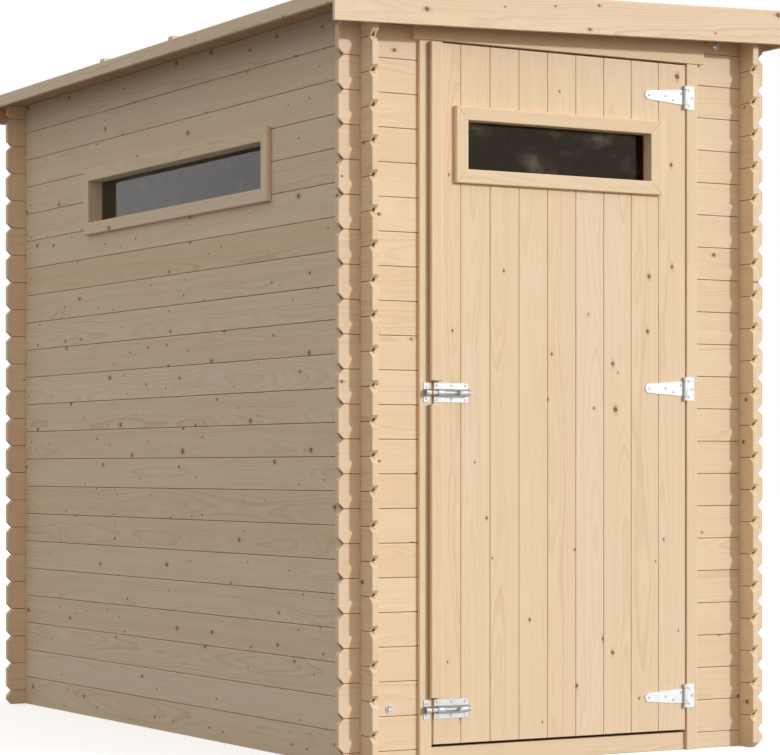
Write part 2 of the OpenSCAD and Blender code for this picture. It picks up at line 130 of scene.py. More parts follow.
class Stock:
    """Collects the boards of one piece, with the marks that their material reads."""

    def __init__(self):
        self.verts = []
        self.faces = []
        self.grain = []
        self.board = []

    def loft(self, rings, axes, ends=True):
        """Adds one closed solid through rings of points. Each ring is (points, its edge mark, or
        a list with one for each point)."""
        seed = rng.random()
        tone = rng.gauss(0, 1)
        start = rng.uniform(0, 40)
        middle = sum((Vector(p) for p in rings[0][0]), Vector()) / len(rings[0][0])
        pith_across = middle.dot(axes[1]) + rng.uniform(-0.05, 0.05)
        pith_depth = middle.dot(axes[2]) + rng.choice((-1, 1)) * rng.uniform(0.02, 0.09)
        known = {}

        def index(p, edge):
            key = (round(p[0], 6), round(p[1], 6), round(p[2], 6))
            if key not in known:
                known[key] = len(self.verts)
                self.verts.append(tuple(p))
                v = Vector(p)
                self.grain.append(
                    (v.dot(axes[0]) + start, v.dot(axes[1]) - pith_across, v.dot(axes[2]) - pith_depth)
                )
                self.board.append((seed, edge, tone))
            return known[key]

        loops = []
        for points, edge in rings:
            marks = edge if isinstance(edge, list) else [edge] * len(points)
            loops.append([index(p, mark) for p, mark in zip(points, marks)])
        for one, two in zip(loops, loops[1:]):
            for i in range(len(one)):
                j = (i + 1) % len(one)
                face = []
                for corner in (one[i], one[j], two[j], two[i]):
                    if corner not in face:
                        face.append(corner)
                if len(face) > 2:
                    self.faces.append(face)
        if ends:
            self.faces.append(list(reversed(loops[0])))
            self.faces.append(loops[-1])

    def piece(self, name, material, body, slot, nodes=(), smooth=None):
        """Makes the collected boards into one piece of the visual model."""
        mesh = bpy.data.meshes.new(name)
        mesh.from_pydata(self.verts, [], self.faces)
        grain = mesh.attributes.new("grain", "FLOAT_VECTOR", "POINT")
        grain.data.foreach_set("vector", [c for g in self.grain for c in g])
        board = mesh.attributes.new("board", "FLOAT_VECTOR", "POINT")
        board.data.foreach_set("vector", [c for b in self.board for c in b])
        bm = bmesh.new()
        bm.from_mesh(mesh)
        bmesh.ops.recalc_face_normals(bm, faces=bm.faces)
        if smooth:
            for face in bm.faces:
                face.smooth = True
            for edge in bm.edges:
                edge.smooth = len(edge.link_faces) == 2 and edge.calc_face_angle(0) < smooth
        bm.to_mesh(mesh)
        bm.free()
        made = bpy.data.objects.new(name, mesh)
        bpy.context.scene.collection.objects.link(made)
        mesh.materials.append(material)
        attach(made, body)
        if nodes:
            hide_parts(*nodes)
        return made


# ---- Shapes ----
def inset(points, distance, weights=None):
    """The outline moved inwards by a distance. Weights say how much of it each edge takes."""
    count = len(points)
    area = sum(
        points[i][0] * points[(i + 1) % count][1] - points[(i + 1) % count][0] * points[i][1]
        for i in range(count)
    )
    turn = 1 if area > 0 else -1
    lines = []
    for i in range(count):
        p, q = Vector(points[i]), Vector(points[(i + 1) % count])
        d = (q - p).normalized()
        n = Vector((-d.y, d.x)) * turn
        w = weights[i] if weights else 1
        lines.append((p + n * distance * w, d))
    out = []
    for i in range(count):
        (p, d), (q, e) = lines[i - 1], lines[i]
        cross = d.x * e.y - d.y * e.x
        if abs(cross) < 1e-6:
            out.append(tuple(q))
        else:
            s = ((q.x - p.x) * e.y - (q.y - p.y) * e.x) / cross
            out.append(tuple(p + d * s))
    return out


def edge_steps(radius, steps):
    """How far in and how deep each ring of a rounded edge lies, from the face inwards."""
    if steps == 1:
        return [(radius, 0), (0, radius)]
    turns = [i / steps * math.pi / 2 for i in range(steps + 1)]
    return [(radius * (1 - math.sin(a)), radius * (1 - math.cos(a))) for a in turns]


def board(stock, levels, place, axes, radius=V_EDGE, steps=1, weights=None, rim=RIM):
    """Adds a board. Levels are (outline, depth) from its face to its back, and place turns
    (along, across, depth) into a point."""
    first, face = levels[0]
    last, back = levels[-1]
    rings = [(inset(first, radius + rim, weights), face, 0)]
    rings += [(inset(first, i, weights), face + d, 1) for i, d in edge_steps(radius, steps)]
    in_joint = [any(outline[i] != first[i] for outline, _ in levels[1:-1]) for i in range(len(first))]
    # A mark of -1 on the hidden faces in a joint is where the material puts painted shade.
    marks = [-1 if hidden else 0.7 for hidden in in_joint]
    rings += [(outline, depth, marks) for outline, depth in levels[1:-1]]
    rings += [(inset(last, i, weights), back - d, 1) for i, d in reversed(edge_steps(radius, steps))]
    rings.append((inset(last, radius + rim, weights), back, 0))
    stock.loft([([place(a, c, t) for a, c in points], mark) for points, t, mark in rings], axes)


def box_outline(a0, a1, c0, c1):
    return [(a0, c0), (a1, c0), (a1, c1), (a0, c1)]


def plain_board(stock, a, c, t, place, axes, radius=0.0015, steps=1, weights=None):
    """Adds a board with a rectangular face. Each of a, c and t is a pair of limits."""
    outline = box_outline(a[0], a[1], c[0], c[1])
    board(stock, [(outline, t[0]), (outline, t[1])], place, axes, radius, steps, weights)


def log_outline(a, low, high, cuts, low_notches, high_notches):
    """The outline of a wall board, twice: at its faces, and at its tongue and groove.

    Cuts are the sizes of the corner cuts, from the low start corner round. A notch is
    (start, end, height of its floor). High may be a function of the place along the board."""
    top = high if callable(high) else lambda place: high
    tongue = 0 if callable(high) else TONGUE
    groove = TONGUE if low > TONGUE else 0
    faces, middle = [], []

    def add(point, moved=None):
        faces.append(point)
        middle.append(moved or point)

    add((a[0] + cuts[0], low), (a[0] + max(cuts[0] - groove, 0), low + groove))
    for start, end, level in sorted(low_notches):
        add((start, low), (start, low + groove))
        add((start, level))
        add((end, level))
        add((end, low), (end, low + groove))
    add((a[1] - cuts[1], low), (a[1] - max(cuts[1] - groove, 0), low + groove))
    if cuts[1]:
        add((a[1], low + cuts[1]))
    if cuts[2]:
        add((a[1], top(a[1]) - cuts[2]))
    reach = tongue if cuts[2] else 0
    add((a[1] - cuts[2], top(a[1])), (a[1] - cuts[2] - reach, top(a[1]) + tongue))
    for start, end, level in sorted(high_notches, reverse=True):
        add((end, top(end)), (end, top(end) + tongue))
        add((end, level))
        add((start, level))
        add((start, top(start)), (start, top(start) + tongue))
    reach = tongue if cuts[3] else 0
    add((a[0] + cuts[3], top(a[0])), (a[0] + cuts[3] + reach, top(a[0]) + tongue))
    if cuts[3]:
        add((a[0], top(a[0]) - cuts[3]))
    if cuts[0]:
        add((a[0], low + cuts[0]))
    return faces, middle


def log_board(stock, a, low, high, cuts, low_notches, high_notches, place, axes):
    """Adds a wall board with its tongue, groove, corner cuts and notches."""
    top = high if callable(high) else high - HALF_JOINT
    faces, middle = log_outline(
        a, low + (HALF_JOINT if low > 0 else 0), top, cuts, low_notches, high_notches
    )
    proud = rng.uniform(0, 0.0004)
    g0, g1 = (board_t - TONGUE) / 2, (board_t + TONGUE) / 2
    levels = [(faces, proud), (faces, g0), (middle, g0), (middle, g1), (faces, g1), (faces, board_t)]
    board(stock, levels, place, axes)


def row_limits(first, top):
    """The lower and upper edges of the rows of a wall. The first row may be a half board."""
    edges = [0.0, first]
    while edges[-1] < top:
        edges.append(edges[-1] + PITCH)
    return list(zip(edges, edges[1:]))


def crossing(start, level):
    return (start - NOTCH_GAP, start + board_t + NOTCH_GAP, level)


# ---- Materials ----
class Graph:
    """Adds shader nodes to a new material, or to another tree of nodes such as the world's."""

    def __init__(self, name, tree=None):
        if tree is None:
            self.material = bpy.data.materials.new(name)
            self.material.use_nodes = True
            tree = self.material.node_tree
        self.tree = tree
        self.tree.nodes.clear()

    def node(self, kind, inputs=None, **settings):
        made = self.tree.nodes.new("ShaderNode" + kind)
        for key, value in settings.items():
            setattr(made, key, value)
        for key, value in (inputs or {}).items():
            if isinstance(value, bpy.types.NodeSocket):
                self.tree.links.new(value, made.inputs[key])
            else:
                made.inputs[key].default_value = value
        return made

    def math(self, operation, *values, clamp=False):
        return self.node("Math", dict(enumerate(values)), operation=operation, use_clamp=clamp).outputs[0]

    def vector(self, operation, *values):
        made = self.node("VectorMath", dict(enumerate(values)), operation=operation)
        return made.outputs["Value" if operation in ("LENGTH", "DOT_PRODUCT") else "Vector"]

    def scaled(self, vector, x, y, z):
        return self.vector("MULTIPLY", vector, (x, y, z))

    def mix(self, factor, one, two, blend="MIX"):
        made = self.node("Mix", {0: factor, 6: one, 7: two}, data_type="RGBA", blend_type=blend)
        return made.outputs[2]

    def noise(self, vector, detail=2.0, roughness=0.5, scale=1.0):
        inputs = {"Vector": vector, "Scale": scale, "Detail": detail, "Roughness": roughness}
        return self.node("TexNoise", inputs).outputs[0]

    def smooth(self, value, low, high):
        inputs = {"Value": value, "From Min": low, "From Max": high}
        return self.node("MapRange", inputs, interpolation_type="SMOOTHSTEP").outputs[0]

    def attribute(self, name):
        return self.node("Attribute", attribute_name=name).outputs["Vector"]

    def parts(self, vector):
        return self.node("SeparateXYZ", {0: vector}).outputs

    def finish(self, height, distance, **inputs):
        """Ends the material in a Principled shader with a bump."""
        bump = self.node("Bump", {"Height": height, "Distance": distance, "Strength": 1.0})
        named = {key.replace("_", " "): value for key, value in inputs.items()}
        named["Normal"] = bump.outputs[0]
        shader = self.node("BsdfPrincipled", named)
        out = self.node("OutputMaterial")
        self.tree.links.new(shader.outputs[0], out.inputs[0])
        return self.material


def colour(red, green, blue):
    return (red, green, blue, 1.0)


# Painted shade: a dark colour put deep in the joints between boards, where shade falls.
JOINT_SHADE = (0.15, 0.085, 0.035)  # deep in the joints between boards


KNOT_CELL = (0.125, 0.08)  # spacing of the places where knots may lie, along and across


def softwood(name, pale, warm, late, knot_share, ring_depth=0.4, uneven=1.0, rough=0.62, sky_shade_tint=None):
    """Planed softwood: growth rings round a pith, fibres, knots and the tone of each board.

    Uneven says how strongly its tone changes from streak to streak and from board to board.
    The last argument is a cooler, paler tint that it takes between the front and the back, but not on the
    ends there: painted shade for a side that only the sky lights. Deep in the joints the colour is darkened
    to painted shade."""
    g = Graph(name)
    grain = g.attribute("grain")
    seed, edge, tone = g.parts(g.attribute("board"))
    along, across, depth = g.parts(grain)

    # Knots: one in some cells of a stretched grid, each with its own size
    cell_a, cell_c = KNOT_CELL
    grid = g.node(
        "CombineXYZ",
        {
            0: g.math("DIVIDE", along, cell_a),
            1: g.math("MULTIPLY_ADD", seed, 13.0, g.math("DIVIDE", across, cell_c)),
        },
    ).outputs[0]
    cells = g.node("TexVoronoi", {"Vector": grid, "Scale": 1.0}, voronoi_dimensions="2D")
    offset = g.vector("SUBTRACT", grid, cells.outputs["Position"])
    offset = g.scaled(offset, cell_a, cell_c, 0)
    chance, size, dark = g.parts(g.vector("ADD", cells.outputs["Color"], (0, 0, 0)))
    wobble = g.noise(g.scaled(grain, 160, 160, 160), 1.0)
    radius = g.math("MULTIPLY_ADD", g.math("POWER", size, 2.5), 0.0045, 0.0022)
    exists = g.math("LESS_THAN", chance, knot_share)
    distance = g.math("MULTIPLY", g.vector("LENGTH", offset), g.math("ADD", wobble, 0.5))
    reach = g.math("DIVIDE", distance, radius)
    inside = g.math("MULTIPLY", g.math("SUBTRACT", 1.0, g.smooth(reach, 0.75, 1.15)), exists)
    core = g.math("MULTIPLY", g.math("SUBTRACT", 1.0, g.smooth(reach, 0.1, 0.8)), exists)
    flow = g.vector("LENGTH", g.scaled(offset, 0.5, 1.0, 0))
    flow = g.math("SUBTRACT", 1.0, g.smooth(g.math("DIVIDE", flow, radius), 0.6, 2.8))
    flow = g.math("MULTIPLY", flow, exists)
    halo = g.math("POWER", flow, 3.0)

    # Growth rings, which wander along the board and bend round the knots
    long_wander = g.noise(g.scaled(grain, 1.0, 5.0, 5.0), 1.0)
    short_wander = g.noise(g.scaled(grain, 4.0, 22.0, 22.0), 2.0)
    ring = g.vector("LENGTH", g.scaled(grain, 0, 1, 1))
    ring = g.math("MULTIPLY_ADD", long_wander, 0.07, ring)
    ring = g.math("MULTIPLY_ADD", short_wander, 0.010, ring)
    ring = g.math("MULTIPLY_ADD", flow, g.math("MULTIPLY", radius, 1.6), ring)
    step = g.math("MULTIPLY_ADD", seed, 0.003, 0.0026)
    count = g.math("DIVIDE", ring, step)
    turn = g.math("FRACT", count)
    wood_late = g.math(
        "MULTIPLY", g.smooth(turn, 0.25, 0.9), g.math("SUBTRACT", 1.0, g.smooth(turn, 0.9, 1.0))
    )
    years = {"W": g.math("MULTIPLY", count, 0.31), "Scale": 1.0, "Detail": 1.0}
    years = g.node("TexNoise", years, noise_dimensions="1D").outputs[0]
    years = g.smooth(years, 0.38, 0.72)
    wood_late = g.math("MULTIPLY", wood_late, g.math("MULTIPLY_ADD", years, 0.8, 0.25))

    fibre = g.noise(g.scaled(grain, 9.0, 520.0, 520.0), 2.0, 0.6)
    streak = g.noise(g.scaled(grain, 1.6, 46.0, 46.0), 2.0)
    blotch = g.noise(g.scaled(grain, 3.0, 14.0, 14.0), 2.0)

    warmth = g.math("MULTIPLY_ADD", tone, 0.26 * uneven, 0.45)
    warmth = g.math("ADD", warmth, g.math("MULTIPLY_ADD", blotch, 0.9 * uneven, -0.45 * uneven))
    warmth = g.math("ADD", warmth, g.math("MULTIPLY_ADD", streak, 0.8 * uneven, -0.4 * uneven), clamp=True)
    shade = g.mix(warmth, colour(*pale), colour(*warm))
    shade = g.mix(g.math("MULTIPLY", wood_late, ring_depth), shade, colour(*late))
    shade = g.mix(g.math("MULTIPLY", g.smooth(fibre, 0.5, 0.85), 0.22 * uneven), shade, colour(*late))
    rim = g.math("MAXIMUM", edge, 0.0)
    worn = g.math("MULTIPLY", rim, g.math("MULTIPLY", g.smooth(streak, 0.3, 0.6), 0.35))
    shade = g.mix(worn, shade, colour(*[min(1, c * 1.1) for c in pale]))
    shade = g.mix(g.math("MULTIPLY", halo, 0.5), shade, colour(0.50, 0.28, 0.12))
    knot = g.mix(dark, colour(0.20, 0.095, 0.042), colour(0.055, 0.024, 0.012))
    knot = g.mix(g.math("MULTIPLY", core, g.math("MULTIPLY", size, 0.8)), knot, colour(0.34, 0.17, 0.08))
    shade = g.mix(g.math("MULTIPLY", inside, 0.92), shade, knot)
    # Painted shade: darkens the hidden faces deep in the joints, where shade falls.
    shade = g.mix(g.math("MULTIPLY", edge, -0.8, clamp=True), shade, colour(*JOINT_SHADE))
    # Painted shade: a cooler, paler tint on the faces between the front and the back, standing in for the
    # cool sky light on the side in shade.
    if sky_shade_tint:
        place = g.parts(g.node("TexCoord").outputs["Object"])[1]
        open_side = g.math("LESS_THAN", g.math("ABSOLUTE", place), wall_y1)
        shade = g.mix(open_side, shade, colour(*sky_shade_tint), "MULTIPLY")

    height = g.math("MULTIPLY_ADD", wood_late, 0.45, g.math("MULTIPLY", fibre, 0.5))
    height = g.math("MULTIPLY_ADD", inside, -0.7, height)
    gloss = g.math("MULTIPLY_ADD", fibre, 0.2, rough)
    return g.finish(height, 0.00035, Base_Color=shade, Roughness=gloss, Specular_IOR_Level=0.3)


def galvanised(name, dull, bright, rough):
    """Zinc-coated steel: faint spangle, brushed streaks and duller patches."""
    g = Graph(name)
    place = g.node("TexCoord").outputs["Object"]
    spangle = g.node("TexVoronoi", {"Vector": place, "Scale": 260.0}).outputs["Color"]
    cell = g.parts(g.vector("ADD", spangle, (0, 0, 0)))[0]
    cloud = g.noise(place, 3.0, 0.6, 90.0)
    streak = g.noise(g.scaled(place, 60, 900, 1500), 2.0)
    shade = g.mix(cell, colour(dull, dull, dull), colour(bright, bright, bright))
    patch = colour(dull * 0.75, dull * 0.75, dull * 0.73)
    shade = g.mix(g.math("MULTIPLY", g.smooth(cloud, 0.5, 0.8), 0.35), shade, patch)
    gloss = g.math("MULTIPLY_ADD", cloud, 0.2, g.math("MULTIPLY_ADD", cell, 0.08, rough))
    height = g.math("ADD", g.math("MULTIPLY", streak, 0.4), g.math("MULTIPLY", cloud, 0.6))
    return g.finish(height, 0.00008, Base_Color=shade, Roughness=gloss, Metallic=1.0)


def mineral_felt():
    """Bitumen felt with mineral granules pressed into it."""
    g = Graph("roofing_felt")
    place = g.node("TexCoord").outputs["Object"]
    chips = g.node("TexVoronoi", {"Vector": place, "Scale": 620.0})
    chip = g.parts(g.vector("ADD", chips.outputs["Color"], (0, 0, 0)))[1]
    cloud = g.noise(place, 4.0, 0.6, 7.0)
    shade = g.mix(chip, colour(0.035, 0.036, 0.038), colour(0.17, 0.17, 0.168))
    shade = g.mix(g.math("MULTIPLY", g.smooth(cloud, 0.45, 0.75), 0.35), shade, colour(0.13, 0.125, 0.115))
    height = g.math("SUBTRACT", 1.0, chips.outputs["Distance"])
    return g.finish(height, 0.0008, Base_Color=shade, Roughness=0.92, Specular_IOR_Level=0.3)


def glazing(name, clear, dust_and_reflection_tint, ior, dust_and_reflection_share):
    """Glazing, tinted and with uneven lighter patches. The tint stands in for the dim interior seen
    through: painted shade. The patches are partly dust and partly painted reflection.
    """
    g = Graph(name)
    place = g.node("TexCoord").outputs["Object"]
    # Lighter, duller patches: partly dust and partly painted reflection.
    dust_and_reflection = g.noise(g.scaled(place, 1, 1, 1.6), 5.0, 0.62, 9.0)
    dust_and_reflection = g.smooth(dust_and_reflection, 0.5, 0.72)
    shade = g.mix(dust_and_reflection, colour(*clear), colour(*dust_and_reflection_tint))
    gloss = g.math("MULTIPLY_ADD", dust_and_reflection, 0.16, 0.02)
    through = g.math("MULTIPLY_ADD", dust_and_reflection, -dust_and_reflection_share, 1.0)
    height = g.noise(place, 1.0, 0.5, 3.0)
    return g.finish(
        height, 0.0006, Base_Color=shade, Roughness=gloss, Transmission_Weight=through, IOR=ior
    )


# Palettes: pale wood, warm wood and the dark late wood of the growth rings
LATE = (0.60, 0.37, 0.18)
PALE = (0.87, 0.665, 0.455)
# Wall timber: the front palette made cooler and paler between front and back by its last argument, painted
# shade for the left wall, which only the sky lights.
wood_wall = softwood(
    "wall_timber",
    PALE,
    (0.81, 0.575, 0.357),
    (0.54, 0.33, 0.17),
    0.5,
    0.36,
    sky_shade_tint=(0.94, 1.015, 1.11),
)
wood_front = softwood(
    "front_timber", PALE, (0.82, 0.59, 0.37), LATE, 0.25, 0.28, 0.65
)
wood_fascia = softwood(
    "fascia_timber", (0.875, 0.68, 0.475), (0.83, 0.60, 0.39), (0.58, 0.38, 0.22), 0.4, 0.4, 0.8
)
wood_trim = softwood(
    "trim_timber", (0.86, 0.65, 0.435), (0.80, 0.575, 0.35), LATE, 0.05, 0.2, 0.6, 0.55
)
# Side window trim timber: the trim palette made cooler and paler, painted shade for the side in shade.
wood_side_trim = softwood(
    "side_trim_timber", (0.82, 0.66, 0.47), (0.76, 0.58, 0.38), (0.50, 0.33, 0.185), 0.05, 0.2, 0.6, 0.55
)
# Roof timber is much darker than the other pine: painted shade for the boards' underside beneath the eaves.
wood_roof = softwood("roof_timber", (0.46, 0.31, 0.18), (0.38, 0.24, 0.13), (0.26, 0.15, 0.07), 0.35)
wood_floor = softwood(
    "floor_timber", (0.66, 0.50, 0.32), (0.56, 0.41, 0.25), (0.36, 0.22, 0.11), 0.4, 0.5, 1.0, 0.75
)
# Two copies of one galvanised steel: the brighter hinge copy is a painted highlight for the sun glare it
# catches, the darker bolt copy painted shade. The bolt rods and all screws take the brighter copy.
hinge_zinc = galvanised("hinge_zinc", 0.52, 0.58, 0.5)
bolt_zinc = galvanised("bolt_zinc", 0.36, 0.44, 0.36)
felt = mineral_felt()
# Glass tints: the brownish grey and the brown stand in for the dim interior seen through, painted shade.
# The lighter patches are partly dust and partly painted reflection.
side_glass = glazing("side_window_glass", (0.42, 0.38, 0.35), (0.56, 0.53, 0.50), 1.42, 0.05)
door_glass = glazing("door_window_glass", (0.30, 0.17, 0.09), (0.50, 0.40, 0.30), 1.22, 0.12)

# ---- Walls ----
timber = "wall_timber"
fronts = (wall_y0, wall_y1 - board_t)
sides = (wall_x0, wall_x1 - board_t)
window_low, window_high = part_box("side_window_frame")


def wall_row(stock, row, spans, crossings, line, place, axes, extra_low=(), extra_high=()):
    """One row of a wall, which may be in several boards. Crossings are where the notches start,
    and line gives the height of the wall's top at a place along it."""
    bottom, top = row
    last = top > line(spans[0][0]) - 0.002
    whole = top - bottom > 0.75 * PITCH
    for start, end in spans:
        inside = [p for p in crossings if start < p < end]
        low_notches = [crossing(p, bottom + PITCH / 4) for p in inside if whole]
        high_notches = [crossing(p, top - PITCH / 4) for p in inside]
        if last:
            high_notches = [n for n in high_notches if n[2] < line(n[0]) - TONGUE]
        low_notches += [n for n in extra_low if start < n[0] < end]
        high_notches += [n for n in extra_high if start < n[0] < end]
        at_start = END_CUT if start < crossings[0] else 0
        at_end = END_CUT if end > crossings[1] + board_t else 0
        cuts = (at_start, at_end, 0, 0) if last else (at_start, at_end, at_end, at_start)
        edge = line if last else top
        log_board(stock, (start, end), bottom, edge, cuts, low_notches, high_notches, place, axes)


def side_wall(name, node, outer, inwards, hole, material):
    """A side wall. Its boards start with a whole one."""
    low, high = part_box(node)
    stock = Stock()
    limit = roof_line(outer)
    for bottom, top in row_limits(PITCH, high.z - 0.002):
        spans = [(low.y, high.y)]
        extra_low, extra_high = [], []
        if hole and bottom < hole[1].z and top > hole[0].z:
            if hole[0].z - bottom > SLIVER:
                extra_high = [(hole[0].y, hole[1].y, hole[0].z)]
            elif top - hole[1].z > SLIVER:
                extra_low = [(hole[0].y, hole[1].y, hole[1].z)]
            else:
                spans = [(low.y, hole[0].y), (hole[1].y, high.y)]
        wall_row(
            stock,
            (bottom, top),
            spans,
            fronts,
            lambda along: limit,
            lambda a, c, t: (outer + inwards * t, a, c),
            ALONG_Y,
            extra_low,
            extra_high,
        )
    return stock.piece(name, material, "shed", timber, [node])


purlin_low, purlin_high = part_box("roof_purlin")


def end_wall(name, nodes, outer, inwards, doorway, material):
    """A front or back wall. Its boards start with a half one, and the purlin runs through it."""
    stock = Stock()
    ends = (back_low.x, back_high.x)
    for bottom, top in row_limits(PITCH / 2, roof_line(wall_x0)):
        spans = [ends]
        extra_low, extra_high = [], []
        if doorway and top < doorway[2]:
            spans = [(ends[0], doorway[0]), (doorway[1], ends[1])]
        elif doorway and bottom < doorway[2] < top:
            extra_low = [doorway]
        if bottom < purlin_low.z < top:
            extra_high = [(purlin_low.x, purlin_high.x, purlin_low.z)]
        if bottom > purlin_low.z:
            spans = [(ends[0], purlin_low.x), (purlin_high.x, ends[1])]
        wall_row(
            stock,
            (bottom, top),
            spans,
            sides,
            roof_line,
            lambda a, c, t: (a, outer + inwards * t, c),
            ALONG_X,
            extra_low,
            extra_high,
        )
    return stock.piece(name, material, "shed", timber, nodes)


side_wall("left_wall_boards", "left_wall", wall_x0, 1, (window_low, window_high), wood_wall)
side_wall("right_wall_boards", "right_wall", wall_x1, -1, None, wood_front)
end_wall("back_wall_boards", ["back_wall"], wall_y1, -1, None, wood_front)
lining_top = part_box("front_wall_top")[0].z
doorway_hole = (front_high.x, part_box("front_wall_right")[0].x, lining_top)
end_wall(
    "front_wall_boards",
    ["front_wall_left", "front_wall_right", "front_wall_top"],
    wall_y0,
    1,
    doorway_hole,
    wood_front,
)


# ---- Boards round the doorway ----
def upright(stock, x, y, z, radius=0.0015, steps=1):
    """A board that stands on end, its face to the front."""
    plain_board(stock, z, x, (0, y[1] - y[0]), lambda a, c, t: (c, y[0] + t, a), ALONG_Z, radius, steps)


def level(stock, x, y, z, radius=0.0015, steps=1):
    """A board that lies along the front, its face to the front."""
    plain_board(stock, x, z, (0, y[1] - y[0]), lambda a, c, t: (a, y[0] + t, c), ALONG_X, radius, steps)


sill_low, sill_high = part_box("door_sill")
stock = Stock()
level(stock, (sill_low.x, sill_high.x), (sill_low.y, sill_high.y), (sill_low.z, sill_high.z))
stock.piece("door_sill_board", wood_front, "shed", timber, ["door_sill"])

for node, web in (("door_jamb_left", 1), ("door_jamb_right", -1)):
    low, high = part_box(node)
    stock = Stock()
    upright(stock, (low.x, high.x), (low.y, wall_y0 - HALF_GAP), (low.z, high.z), ROUND, 3)
    upright(stock, (low.x, high.x), (wall_y0 + board_t + HALF_GAP, high.y), (sill_high.z, high.z))
    inner = (doorway_hole[0], high.x) if web > 0 else (low.x, doorway_hole[1])
    upright(stock, inner, (wall_y0, wall_y0 + board_t), (low.z, high.z))
    stock.piece(node + "_boards", wood_trim, "shed", timber, [node])

head_low, head_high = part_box("door_header")
jamb_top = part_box("door_jamb_left")[1].z
stock = Stock()
level(stock, (head_low.x, head_high.x), (head_low.y, wall_y0 - HALF_GAP), (jamb_top, head_high.z), ROUND, 3)
level(stock, doorway_hole[:2], (wall_y0, wall_y0 + board_t), (jamb_top, lining_top - HALF_GAP))
inner_y = (wall_y0 + board_t + HALF_GAP, head_high.y)
level(stock, (doorway_hole[0] - 0.02, doorway_hole[1] + 0.02), inner_y, (jamb_top, lining_top - 0.001))
stock.piece("door_header_boards", wood_trim, "shed", timber, ["door_header"])

# ---- Floor ----
stock = Stock()
for low, high in clusters("floor_bearers", 0, 0.1):
    plain_board(
        stock, (low.y, high.y), (low.x, high.x), (low.z, high.z), lambda a, c, t: (c, a, t), (Y, X, Z)
    )
stock.piece("floor_bearer_boards", wood_floor, "shed", "floor_timber", ["floor_bearers"])


def row_of_boards(stock, a, c, width, t, place, axes):
    """Boards side by side with tongues and grooves, whose faces lie at the first depth."""
    count = max(1, round((c[1] - c[0]) / width))
    real = (c[1] - c[0]) / count
    g0 = t[0] + (t[1] - t[0] - TONGUE) / 2
    for i in range(count):
        low, high = c[0] + i * real + HALF_JOINT, c[0] + (i + 1) * real - HALF_JOINT
        outline = box_outline(a[0], a[1], low, high)
        lower = low + (TONGUE if i else 0)
        upper = high + (TONGUE if i < count - 1 else 0)
        middle = box_outline(a[0], a[1], lower, upper)
        levels = [(outline, t[0]), (outline, g0), (middle, g0), (middle, g0 + TONGUE)]
        levels += [(outline, g0 + TONGUE), (outline, t[1])]
        board(stock, levels, place, axes)


floor_low, floor_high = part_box("floor_boards")
stock = Stock()
row_of_boards(
    stock,
    (floor_low.x, floor_high.x),
    (floor_low.y, floor_high.y),
    FLOOR_BOARD,
    (-floor_high.z, -floor_low.z),
    lambda a, c, t: (a, c, -t),
    (X, Y, Z),
)
stock.piece("floor_board_row", wood_floor, "shed", "floor_timber", ["floor_boards"])

# ---- Roof ----
deck_low, deck_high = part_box("roof_boards")
under_low = deck_low.z - roof_line(deck_low.x)


def on_roof(a, c, t):
    """A point at a place across and along the shed and a height above the roof boards' underside."""
    return (a, c, roof_line(a) + under_low + t)


def roof_edge_heights(node):
    """Lowest and highest edge of a slanted bar, above the roof boards' underside."""
    low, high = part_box(node)
    return low.z - roof_line(low.x) - under_low, high.z - roof_line(high.x) - under_low


deck_t = deck_high.z - roof_line(deck_high.x) - under_low
deck_x = (deck_low.x, deck_high.x)
stock = Stock()
row_of_boards(stock, deck_x, (deck_low.y, deck_high.y), ROOF_BOARD, (0, deck_t), on_roof, (X, Y, Z))
stock.piece("roof_board_row", wood_roof, "shed", timber, ["roof_boards"])

stock = Stock()
purlin_h = roof_line(purlin_low.x) - purlin_low.z
plain_board(
    stock,
    (purlin_low.y, purlin_high.y),
    (purlin_low.x, purlin_high.x),
    (-purlin_h, 0),
    lambda a, c, t: (c, a, roof_line(c) + t),
    (Y, X, Z),
    0.002,
)
stock.piece("roof_purlin_beam", wood_roof, "shed", timber, ["roof_purlin"])

batten_top = roof_edge_heights("roof_battens")[1]
felt_top = roof_edge_heights("roof_felt")[1]
stock = Stock()
batten_boxes = clusters("roof_battens", 1, 0.1)
for low, high in batten_boxes:
    plain_board(
        stock,
        (low.x, high.x),
        (low.y, high.y),
        (-batten_top, -felt_top),
        lambda a, c, t: on_roof(a, c, -t),
        (X, Y, Z),
    )
stock.piece("roof_batten_strips", wood_wall, "shed", timber, ["roof_battens"])


felt_low, felt_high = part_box("roof_felt")
lap_at = (batten_boxes[1][0].y + batten_boxes[1][1].y) / 2
sheet_t = (felt_top - deck_t) / 2


